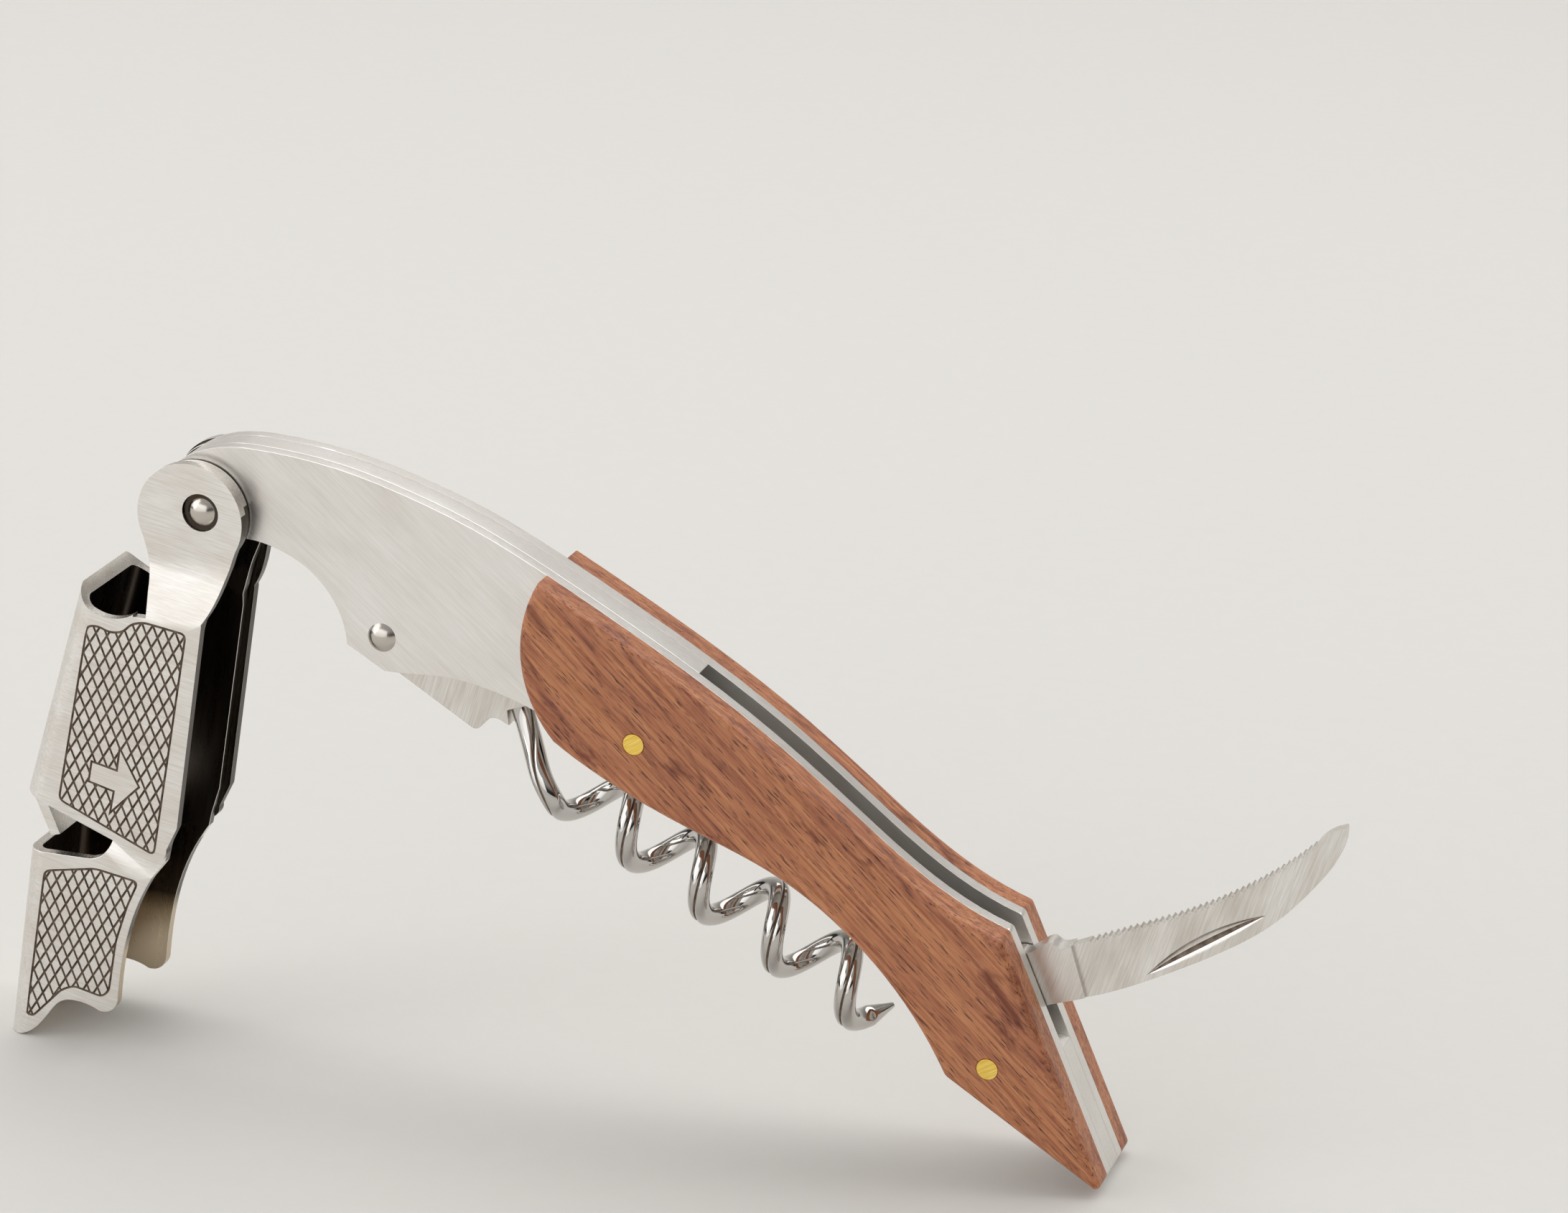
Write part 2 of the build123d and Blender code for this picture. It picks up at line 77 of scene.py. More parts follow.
def addNode(material, kind, settings=None, links=None):
    # a setting is the node's own value, or its stops for a colour ramp, or the value of one of its sockets
    node = material.node_tree.nodes.new(kind)
    for key, value in (settings or {}).items():
        if key == "stops":
            ramp = node.color_ramp
            ramp.elements.remove(ramp.elements[-1])
            ramp.elements[0].position, ramp.elements[0].color = value[0]
            for position, shade in value[1:]:
                ramp.elements.new(position).color = shade
        elif isinstance(key, str) and hasattr(node, key):
            setattr(node, key, value)
        else:
            node.inputs[key].default_value = value
    for key, socket in (links or {}).items():
        material.node_tree.links.new(socket, node.inputs[key])
    return node


def newMaterial(name, settings):
    material = bpy.data.materials.new(name)
    material.use_nodes = True
    material.node_tree.nodes.clear()
    shader = addNode(material, "ShaderNodeBsdfPrincipled", settings)
    addNode(material, "ShaderNodeOutputMaterial", links={"Surface": shader.outputs["BSDF"]})
    return material, shader


def stretchedCoordinates(material, angle, scale):
    # object coordinates turned to the grain, then scaled in repeats per metre along x, y and z
    place = addNode(material, "ShaderNodeTexCoord")
    turned = addNode(
        material, "ShaderNodeMapping", {"Rotation": (0, angle, 0)}, {"Vector": place.outputs["Object"]}
    )
    return addNode(material, "ShaderNodeMapping", {"Scale": scale}, {"Vector": turned.outputs["Vector"]})


steelClouds = {"alongMm": 9, "acrossMm": 4}  # the slow change of tone over a hand-fed plate


def brushedSteel(name, look):
    # abrasive belt lines: the eye reads long faint streaks in the gloss more than in the colour
    material, shader = newMaterial(name, {"Metallic": 1.0})
    fine = stretchedCoordinates(
        material, look["angle"],
        (1 / (look["strokeMm"] * mm), 1 / (look["lineMm"] * mm), 1 / (look["lineMm"] * mm)),
    )
    lines = addNode(
        material, "ShaderNodeTexNoise", {"Scale": 1.0, "Detail": 5.0, "Roughness": 0.65},
        {"Vector": fine.outputs["Vector"]},
    )
    along, across = (1 / (steelClouds[key] * mm) for key in ("alongMm", "acrossMm"))
    broad = stretchedCoordinates(material, look["angle"], (along, across, across))
    clouds = addNode(
        material, "ShaderNodeTexNoise", {"Scale": 1.0, "Detail": 3.0}, {"Vector": broad.outputs["Vector"]}
    )
    tint = addNode(
        material, "ShaderNodeValToRGB",
        {"stops": [(0.30, colour(look["dark"])), (0.70, colour(look["light"]))]},
        {"Fac": lines.outputs["Fac"]},
    )
    cloudTint = addNode(
        material, "ShaderNodeValToRGB", {"stops": [(0.3, colour(look["cloud"])), (0.7, colour("#ffffff"))]},
        {"Fac": clouds.outputs["Fac"]},
    )
    mixed = addNode(material, "ShaderNodeMix", {"data_type": "RGBA", "blend_type": "MULTIPLY", "Factor": 1.0})
    material.node_tree.links.new(tint.outputs["Color"], mixed.inputs[6])
    material.node_tree.links.new(cloudTint.outputs["Color"], mixed.inputs[7])
    material.node_tree.links.new(mixed.outputs[2], shader.inputs["Base Color"])
    gloss = addNode(
        material, "ShaderNodeMapRange",
        {"To Min": look["rough"][0], "To Max": look["rough"][1], "From Min": 0.3, "From Max": 0.7},
        {"Value": lines.outputs["Fac"]},
    )
    material.node_tree.links.new(gloss.outputs["Result"], shader.inputs["Roughness"])
    bump = addNode(
        material, "ShaderNodeBump", {"Strength": look["bump"], "Distance": 0.00003},
        {"Height": lines.outputs["Fac"]},
    )
    material.node_tree.links.new(bump.outputs["Normal"], shader.inputs["Normal"])
    return material


# painted reflection: inside the boot the dark painted shade turns tan towards the bottom, standing for the
# mirrored floor
bootFloorReflection = {"reflectionBelow": 0.0118, "darkAbove": 0.0142, "tone": "#cbbba2"}


def paintBootFloorReflection(material):
    # painted reflection: the lowest few millimetres inside the boot are painted tan, standing for the bright
    # floor mirrored there
    tree = material.node_tree
    shader = next(node for node in tree.nodes if node.bl_idname == "ShaderNodeBsdfPrincipled")
    dark = shader.inputs["Base Color"].links[0].from_socket
    place = addNode(material, "ShaderNodeTexCoord")
    split = addNode(material, "ShaderNodeSeparateXYZ", links={"Vector": place.outputs["Object"]})
    reflectedShare = addNode(
        material, "ShaderNodeMapRange",
        {"From Min": bootFloorReflection["darkAbove"], "From Max": bootFloorReflection["reflectionBelow"]},
        {"Value": split.outputs["Z"]},
    )
    blend = addNode(
        material, "ShaderNodeMix", {"data_type": "RGBA"}, {0: reflectedShare.outputs["Result"], 6: dark}
    )
    blend.inputs[7].default_value = colour(bootFloorReflection["tone"])
    tree.links.new(blend.outputs[2], shader.inputs["Base Color"])


# stainless plate finished on a belt along the handle: satin, pale, slightly warm
brushedStainless = brushedSteel("brushedStainless", {
    "angle": handleAngle, "strokeMm": 5.0, "lineMm": 0.14, "dark": "#e4e1dd", "light": "#f1efec",
    "cloud": "#f6f4f2", "rough": (0.31, 0.38), "bump": 0.05})
# the levers' plates are brushed level, across the arms
leverStainless = brushedSteel("leverBrushedStainless", {
    "angle": math.radians(-12), "strokeMm": 4.0, "lineMm": 0.18, "dark": "#dad6d1", "light": "#f1efec",
    "cloud": "#f1eeea", "rough": (0.38, 0.48), "bump": 0.12})
# the inside of the folded plates is painted dark as painted shade inside the channels, smooth enough to
# mirror softly; near the boot's mouth it takes a painted floor reflection
shadeAndReflectionStainless = brushedSteel("paintedShadeAndReflectionStainless", {
    "angle": math.radians(80), "strokeMm": 9.0, "lineMm": 0.9, "dark": "#46403b", "light": "#524b45",
    "cloud": "#ddd3c6", "rough": (0.24, 0.34), "bump": 0.04})
paintBootFloorReflection(shadeAndReflectionStainless)
# ground blade stock: short upright grinding marks, a little duller than the handle
groundBladeSteel = brushedSteel("groundBladeStainless", {
    "angle": math.radians(72), "strokeMm": 4.0, "lineMm": 0.15, "dark": "#d6d2cd", "light": "#f1efec",
    "cloud": "#ebe7e2", "rough": (0.28, 0.40), "bump": 0.12})
# the lever plates' sheared edges, drawn bright as a fresh cut takes the light
shearedEdge = brushedSteel("shearedStainlessEdge", {
    "angle": math.radians(80), "strokeMm": 3.0, "lineMm": 0.15, "dark": "#cfcac4", "light": "#efece8",
    "cloud": "#efece8", "rough": (0.20, 0.30), "bump": 0.10})


def polishedSteel():
    # buffed to a mirror: near-black and near-white reflections, a few faint buffing swirls
    material, shader = newMaterial("polishedStainless", {"Metallic": 1.0, "Base Color": colour("#c4c1bd")})
    place = stretchedCoordinates(material, 0, (1 / (1.2 * mm),) * 3)
    swirls = addNode(
        material, "ShaderNodeTexNoise", {"Scale": 1.0, "Detail": 4.0}, {"Vector": place.outputs["Vector"]}
    )
    gloss = addNode(
        material, "ShaderNodeMapRange", {"To Min": 0.05, "To Max": 0.13}, {"Value": swirls.outputs["Fac"]}
    )
    material.node_tree.links.new(gloss.outputs["Result"], shader.inputs["Roughness"])
    return material


def tumbledSteel():
    # rivet heads are set and tumbled: soft highlights with a darker turn at the rim
    material, shader = newMaterial("tumbledRivetSteel", {"Metallic": 1.0, "Base Color": colour("#c6c0b8")})
    place = stretchedCoordinates(material, 0, (1 / (0.5 * mm),) * 3)
    dents = addNode(
        material, "ShaderNodeTexNoise", {"Scale": 1.0, "Detail": 3.0}, {"Vector": place.outputs["Vector"]}
    )
    gloss = addNode(
        material, "ShaderNodeMapRange", {"To Min": 0.16, "To Max": 0.27}, {"Value": dents.outputs["Fac"]}
    )
    material.node_tree.links.new(gloss.outputs["Result"], shader.inputs["Roughness"])
    bump = addNode(
        material, "ShaderNodeBump", {"Strength": 0.25, "Distance": 0.00003},
        {"Height": dents.outputs["Fac"]},
    )
    material.node_tree.links.new(bump.outputs["Normal"], shader.inputs["Normal"])
    return material


def groundBrass():
    # brass pins ground flush with the wood: fine crossing scratches keep them bright yellow
    material, shader = newMaterial("groundBrass", {"Metallic": 1.0})
    place = stretchedCoordinates(
        material, math.radians(30), (1 / (2.0 * mm), 1 / (0.12 * mm), 1 / (0.12 * mm))
    )
    scratches = addNode(
        material, "ShaderNodeTexNoise", {"Scale": 1.0, "Detail": 3.0}, {"Vector": place.outputs["Vector"]}
    )
    tint = addNode(
        material, "ShaderNodeValToRGB", {"stops": [(0.3, colour("#edbe3c")), (0.7, colour("#ffe487"))]},
        {"Fac": scratches.outputs["Fac"]},
    )
    material.node_tree.links.new(tint.outputs["Color"], shader.inputs["Base Color"])
    gloss = addNode(
        material, "ShaderNodeMapRange", {"To Min": 0.24, "To Max": 0.38},
        {"Value": scratches.outputs["Fac"]},
    )
    material.node_tree.links.new(gloss.outputs["Result"], shader.inputs["Roughness"])
    return material


def residueAndShadeMaterial():
    # engraved lines hold dark brown residue: matt against the bright plate; the same dark brown is painted
    # shade in the worm's groove and the blade's nick
    material, shader = newMaterial("engravedResidueAndPaintedShade", {"Metallic": 0.35})
    place = stretchedCoordinates(material, 0, (1 / (0.8 * mm),) * 3)
    mottle = addNode(
        material, "ShaderNodeTexNoise", {"Scale": 1.0, "Detail": 3.0}, {"Vector": place.outputs["Vector"]}
    )
    tint = addNode(
        material, "ShaderNodeValToRGB", {"stops": [(0.3, colour("#4a3a2e")), (0.75, colour("#857768"))]},
        {"Fac": mottle.outputs["Fac"]},
    )
    material.node_tree.links.new(tint.outputs["Color"], shader.inputs["Base Color"])
    gloss = addNode(
        material, "ShaderNodeMapRange", {"To Min": 0.45, "To Max": 0.6}, {"Value": mottle.outputs["Fac"]}
    )
    material.node_tree.links.new(gloss.outputs["Result"], shader.inputs["Roughness"])
    return material


def oiledRosewood():
    # rosewood sanded and oiled: red-brown with purple-black streaks and short dark pores along the handle
    look = {"streakMm": (17.0, 1.5), "poreMm": (2.0, 0.15), "fibreMm": (9.0, 0.30), "patchMm": (11.0, 3.2)}
    material, shader = newMaterial(
        "oiledRosewood", {"Coat Weight": 0.12, "Coat Roughness": 0.3, "Specular IOR Level": 0.45}
    )
    links = material.node_tree.links

    def grain(size, detail, distortion):
        place = stretchedCoordinates(
            material, handleAngle - math.radians(3),
            (1 / (size[0] * mm), 1 / (size[1] * mm), 1 / (size[1] * mm)),
        )
        return addNode(
            material, "ShaderNodeTexNoise",
            {"Scale": 1.0, "Detail": detail, "Roughness": 0.6, "Distortion": distortion},
            {"Vector": place.outputs["Vector"]},
        )

    streaks = grain(look["streakMm"], 6.0, 0.6)
    fibres = grain(look["fibreMm"], 4.0, 0.2)
    pores = grain(look["poreMm"], 2.0, 0.0)
    patches = grain(look["patchMm"], 3.0, 0.8)
    body = addNode(
        material, "ShaderNodeValToRGB",
        {
            "stops": [
                (0.22, colour("#512c26")), (0.31, colour("#814a37")), (0.40, colour("#aa6b49")),
                (0.56, colour("#bd7f57")), (0.76, colour("#b0703f")),
            ]
        },
        {"Fac": streaks.outputs["Fac"]},
    )
    patchTint = addNode(
        material, "ShaderNodeValToRGB", {"stops": [(0.30, colour("#a9857a")), (0.43, colour("#ffffff"))]},
        {"Fac": patches.outputs["Fac"]},
    )
    fibreTint = addNode(
        material, "ShaderNodeValToRGB", {"stops": [(0.30, colour("#c3a497")), (0.60, colour("#ffffff"))]},
        {"Fac": fibres.outputs["Fac"]},
    )
    poreTint = addNode(
        material, "ShaderNodeValToRGB", {"stops": [(0.33, colour("#62403a")), (0.41, colour("#ffffff"))]},
        {"Fac": pores.outputs["Fac"]},
    )
    first = addNode(
        material, "ShaderNodeMix", {"data_type": "RGBA", "blend_type": "MULTIPLY", "Factor": 1.0}
    )
    links.new(body.outputs["Color"], first.inputs[6])
    links.new(fibreTint.outputs["Color"], first.inputs[7])
    patched = addNode(
        material, "ShaderNodeMix", {"data_type": "RGBA", "blend_type": "MULTIPLY", "Factor": 1.0}
    )
    links.new(first.outputs[2], patched.inputs[6])
    links.new(patchTint.outputs["Color"], patched.inputs[7])
    second = addNode(
        material, "ShaderNodeMix", {"data_type": "RGBA", "blend_type": "MULTIPLY", "Factor": 0.85}
    )
    links.new(patched.outputs[2], second.inputs[6])
    links.new(poreTint.outputs["Color"], second.inputs[7])
    links.new(second.outputs[2], shader.inputs["Base Color"])
    gloss = addNode(
        material, "ShaderNodeMapRange", {"To Min": 0.36, "To Max": 0.52}, {"Value": fibres.outputs["Fac"]}
    )
    links.new(gloss.outputs["Result"], shader.inputs["Roughness"])
    bump = addNode(
        material, "ShaderNodeBump", {"Strength": 0.35, "Distance": 0.00006},
        {"Height": poreTint.outputs["Color"]},
    )
    links.new(bump.outputs["Normal"], shader.inputs["Normal"])
    return material


mirrorSteel = polishedSteel()
domeSteel = tumbledSteel()
brass = groundBrass()
residueAndShade = residueAndShadeMaterial()
rosewood = oiledRosewood()
print("materials made:", len(bpy.data.materials))


# meshes

meshLook = {"weldMm": 0.002, "flatDegrees": 0.3}


def weldedMesh(node):
    # a node's mesh with doubled corners joined and flat areas made whole
    mesh = bmesh.new()
    mesh.from_mesh(frame["nodes"][node].data)
    bmesh.ops.remove_doubles(mesh, verts=mesh.verts, dist=meshLook["weldMm"] * mm)
    bmesh.ops.dissolve_limit(
        mesh, angle_limit=math.radians(meshLook["flatDegrees"]), verts=mesh.verts, edges=mesh.edges
    )
    for layer in list(mesh.loops.layers.uv):
        mesh.loops.layers.uv.remove(layer)
    return mesh


def roundEdges(mesh, edges, width, steps=2):
    if edges:
        bmesh.ops.bevel(
            mesh, geom=edges, offset=width * mm, offset_type="OFFSET", segments=steps, profile=0.5,
            affect="EDGES", clamp_overlap=True,
        )


def sharpEdges(mesh, degrees=40):
    return [
        e for e in mesh.edges if len(e.link_faces) == 2 and e.calc_face_angle(0) > math.radians(degrees)
    ]


def finishPiece(mesh, name, materials, body, nodes, smoothBelow=38):
    # smooth shading up to the given angle, then the piece joins its body in place of the plain nodes
    for face in mesh.faces:
        face.smooth = True
    for edge in mesh.edges:
        edge.smooth = len(edge.link_faces) == 2 and edge.calc_face_angle(0) < math.radians(smoothBelow)
    data = bpy.data.meshes.new(name)
    mesh.to_mesh(data)
    mesh.free()
    for material in materials:
        data.materials.append(material)
    piece = bpy.data.objects.new(name, data)
    bpy.context.scene.collection.objects.link(piece)
    weighted = piece.modifiers.new("evenShading", "WEIGHTED_NORMAL")
    weighted.keep_sharp = True
    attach(piece, body)
    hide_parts(*nodes)
    return piece


# engraved panels


def isInside(point, loop):
    x, z = point
    inside = False
    for (x1, z1), (x2, z2) in zip(loop, loop[1:] + loop[:1]):
        if (z1 > z) != (z2 > z) and x < (x2 - x1) * (z - z1) / (z2 - z1) + x1:
            inside = not inside
    return inside


def distanceTo(point, loop):
    best = 1e9
    for (x1, z1), (x2, z2) in zip(loop, loop[1:] + loop[:1]):
        dx, dz = x2 - x1, z2 - z1
        t = max(0, min(1, ((point[0] - x1) * dx + (point[1] - z1) * dz) / (dx * dx + dz * dz)))
        best = min(best, math.hypot(point[0] - x1 - t * dx, point[1] - z1 - t * dz))
    return best


def roundedLoop(points, radius, steps=4):
    # a polygon with each corner cut by a short curve
    loop = []
    for i, corner in enumerate(points):
        here = Vector(corner)
        before, after = Vector(points[i - 1]), Vector(points[(i + 1) % len(points)])
        reach = min(radius, (before - here).length * 0.45, (after - here).length * 0.45)
        first = here + (before - here).normalized() * reach
        last = here + (after - here).normalized() * reach
        for n in range(steps + 1):
            t = n / steps
            loop.append(tuple(first * (1 - t) ** 2 + here * 2 * t * (1 - t) + last * t * t))
    return loop


def offsetLoop(loop, distance):
    # the loop moved sideways, with its sharpest corners held back
    moved = []
    for i, here in enumerate(loop):
        a = (Vector(here) - Vector(loop[i - 1])).normalized()
        b = (Vector(loop[(i + 1) % len(loop)]) - Vector(here)).normalized()
        normal = Vector((a.y + b.y, -a.x - b.x))
        normal.normalize()
        stretch = max(0.3, normal.dot(Vector((a.y, -a.x))))
        moved.append(tuple(Vector(here) + normal * distance / stretch))
    return moved


def clippedLine(origin, direction, loops, allowed):
    # the stretches of a straight line that lie where engraving is allowed
    cuts = []
    for loop in loops:
        for (x1, z1), (x2, z2) in zip(loop, loop[1:] + loop[:1]):
            ex, ez = x2 - x1, z2 - z1
            det = direction[0] * -ez + ex * direction[1]
            if abs(det) > 1e-9:
                t = ((x1 - origin[0]) * -ez + ex * (z1 - origin[1])) / det
                s = (direction[0] * (z1 - origin[1]) - direction[1] * (x1 - origin[0])) / det
                if 0 <= s <= 1:
                    cuts.append(t)
    cuts.sort()
    pieces = []
    for low, high in zip(cuts, cuts[1:]):
        middle = (low + high) / 2
        if high - low > 0.02 and allowed(
            (origin[0] + direction[0] * middle, origin[1] + direction[1] * middle)
        ):
            pieces.append(
                [(origin[0] + direction[0] * t, origin[1] + direction[1] * t) for t in (low, high)]
            )
    return pieces


def fillSurface(mesh, rim, side, loops, lines, heightAt, materialAt):
    # closes the opening inside the rim edges with a surface that stands heightAt mm from the middle plane
    rimVerts = list(dict.fromkeys(v for e in rim for v in e.verts))
    number = {v: i for i, v in enumerate(rimVerts)}
    points = [Vector((v.co.x / mm, v.co.z / mm)) for v in rimVerts]
    edges = [(number[e.verts[0]], number[e.verts[1]]) for e in rim]
    for loop in loops:
        start = len(points)
        points.extend(Vector(p) for p in loop)
        edges.extend((start + i, start + (i + 1) % len(loop)) for i in range(len(loop)))
    for a, b in lines:
        edges.append((len(points), len(points) + 1))
        points.extend((Vector(a), Vector(b)))
    found, _, faces, origins, _, _ = geometry.delaunay_2d_cdt(points, edges, [], 1, 1e-4)
    made = []
    for place, origin in zip(found, origins):
        kept = [i for i in origin if i < len(rimVerts)]
        if kept:
            made.append(rimVerts[kept[0]])
        else:
            made.append(
                mesh.verts.new((place.x * mm, side * heightAt((place.x, place.y)) * mm, place.y * mm))
            )
    rimLoop = orderedLoops(rim)
    for corners in faces:
        middle = [sum(found[i][axis] for i in corners) / len(corners) for axis in (0, 1)]
        if sum(
            isInside(middle, loop) for loop in rimLoop
        ) % 2 == 0 or len({made[i] for i in corners}) < len(corners):
            continue
        face = mesh.faces.new([made[i] for i in (corners if side < 0 else corners[::-1])])
        face.material_index = materialAt(middle)
    mesh.normal_update()
    return len(faces)


def orderedLoops(rim):
    # the rim edges as closed loops of x and z in mm
    left, loops = set(rim), []
    while left:
        edge = left.pop()
        start, here = edge.verts
        loop = [start, here]
        while here != start:
            edge = next((e for e in here.link_edges if e in left), None)
            if edge is None:
                break
            left.discard(edge)
            here = edge.other_vert(here)
            loop.append(here)
        loops.append([(v.co.x / mm, v.co.z / mm) for v in loop[:-1]])
    return loops


def sideRim(mesh, flat):
    # the edges that go round these faces
    flatSet = set(flat)
    return [e for e in mesh.edges if len([f for f in e.link_faces if f in flatSet]) == 1]


def flatFaces(mesh, side, faceAt):
    # the faces that lie in the plane faceAt mm from the middle
    squarely, withinMm = 0.999, 0.004
    found = []
    for face in mesh.faces:
        off = abs(face.calc_center_median().y - side * faceAt * mm)
        if face.normal.y * side > squarely and off < withinMm * mm:
            found.append(face)
    return found


def engrave(mesh, side, faceAt, panel, grooveMaterial):
    # V grooves cut into the flat side face: crossing lines, the panel's border and the arrow's outline
    half, depth, border, clear = panel["lineMm"] / 2, panel["depthMm"], panel["border"], panel["clear"]
    linesEachWay, barelyCut = 30, 0.02
    outlines = [border, *clear]

    def knurled(p):
        return isInside(p, border) and not any(isInside(p, c) for c in clear)

    loops = [offsetLoop(loop, step) for loop in outlines for step in (-half, 0, half)]
    families, lines = [], []
    middle = np.mean(np.array(border), axis=0)
    for angle in panel["angles"]:
        direction = (math.cos(angle), math.sin(angle))
        normal = (-direction[1], direction[0])
        families.append((normal, middle[0] * normal[0] + middle[1] * normal[1]))
        for n in range(-linesEachWay, linesEachWay + 1):
            for step in (-half, 0, half):
                shift = n * panel["spacingMm"] + step
                origin = (middle[0] + normal[0] * shift, middle[1] + normal[1] * shift)
                lines.extend(clippedLine(origin, direction, outlines, knurled))

    def cutAt(p):
        cut = max(1 - distanceTo(p, loop) / half for loop in outlines)
        if cut < 1 and knurled(p):
            for normal, base in families:
                off = (p[0] * normal[0] + p[1] * normal[1] - base) / panel["spacingMm"]
                cut = max(cut, 1 - abs(off - round(off)) * panel["spacingMm"] / half)
        return max(0.0, cut)

    flat = flatFaces(mesh, side, faceAt)
    rim = sideRim(mesh, flat)
    bmesh.ops.delete(mesh, geom=flat, context="FACES_ONLY")
    return fillSurface(
        mesh, rim, side, loops, lines, lambda p: faceAt - depth * cutAt(p),
        lambda p: grooveMaterial if cutAt(p) > barelyCut else 0,
    )


shortLeverLook = {
    "faceMm": 7.25, "backFaces": (-0.953, 0, 0.302),
    "cutMm": 0.09,  # the sheared edges are barely broken
    "border": [
        (-13.15, -13.7), (-11.9, -13.55), (-10.4, -14.15), (-8.9, -13.9), (-7.9, -12.9),
        (-6.45, -12.5), (-1.45, -13.3), (-6.55, -39.5), (-17.75, -34.4),
    ],
    "arrow": [
        (-13.5, -29.4), (-14.0, -31.8), (-11.0, -32.6), (-11.6, -35.2), (-7.9, -31.7), (-10.0, -27.4),
        (-10.5, -30.1),
    ],
    "lineMm": 0.26, "depthMm": 0.13, "spacingMm": 1.17, "angles": (math.radians(-70.6), math.radians(55.3)),
}
bootLook = {
    "faceMm": 6.65, "backFaces": (-0.986, 0, 0.166),
    "cutMm": 0.09,
    "border": [
        (-20.35, -43.5), (-14.05, -42.4), (-8.95, -43.3), (-10.45, -46.4), (-12.05, -50.8), (-13.25, -57.0),
        (-14.15, -57.8), (-17.55, -57.0), (-19.15, -57.7), (-22.85, -61.4), (-23.65, -61.3),
    ],
    "lineMm": 0.26, "depthMm": 0.13, "spacingMm": 1.17, "angles": (math.radians(-70.6), math.radians(55.3)),
}


def paintPlates(mesh, lean):
    # the sheared edges are bright; the inside faces are painted dark, painted shade inside the folded plates
    sideways, squarely = 0.25, 0.9
    for face in mesh.faces:
        across = face.normal.y
        if abs(across) > sideways:
            face.material_index = 2 if across * face.calc_center_median().y < 0 else 0
        elif abs(face.normal.dot(lean)) > squarely:
            face.material_index = 0 if face.normal.dot(lean) > 0 else 2
        else:
            face.material_index = 3


def leverPiece(node, name, body, look):
    mesh = weldedMesh(node)
    paintPlates(mesh, Vector(look["backFaces"]))
    roundEdges(mesh, sharpEdges(mesh), look["cutMm"], 1)
    mesh.normal_update()
    border = roundedLoop(onLever(look["border"])[::-1], 0.7)
    arrows = [onLever(look["arrow"])[::-1]] if "arrow" in look else []
    panel = dict(look, border=border, clear=arrows)
    for side in (-1, 1):
        count = engrave(mesh, side, look["faceMm"], panel, 1)
        print("engraved", name, "side", side, "faces", count)
    return finishPiece(
        # slot 2 is the painted shade (and painted floor reflection) of the inside faces
        mesh, name, [leverStainless, residueAndShade, shadeAndReflectionStainless, shearedEdge], body, [node]
    )


shortLever = leverPiece("first_step_lever", "shortLever", "short_lever", shortLeverLook)
longLever = leverPiece("second_step_lever", "longLever", "long_lever", bootLook)


# worm

wormLook = {
    "wireMm": 2.35, "outerMm": 9.0, "pitchMm": 9.5, "turns": 4.2, "tilt": math.radians(10), "dropMm": 2.1,
    "firstLowMm": 26.8, "leadAngle": math.radians(45), "root": (38.2, 6.55), "rootSlope": math.radians(30),
    "leadKnots": [(40.6, -0.6, 5.4), (43.1, -1.8, 4.4), (45.5, -2.9, 3.5)],
    "stepsPerTurn": 72, "leadSteps": 14, "tipSteps": 12, "tipMm": 3.2, "tipRadiusMm": 0.28,
    "grooveMm": 0.26, "grooveWidth": 0.17, "around": 48,
}


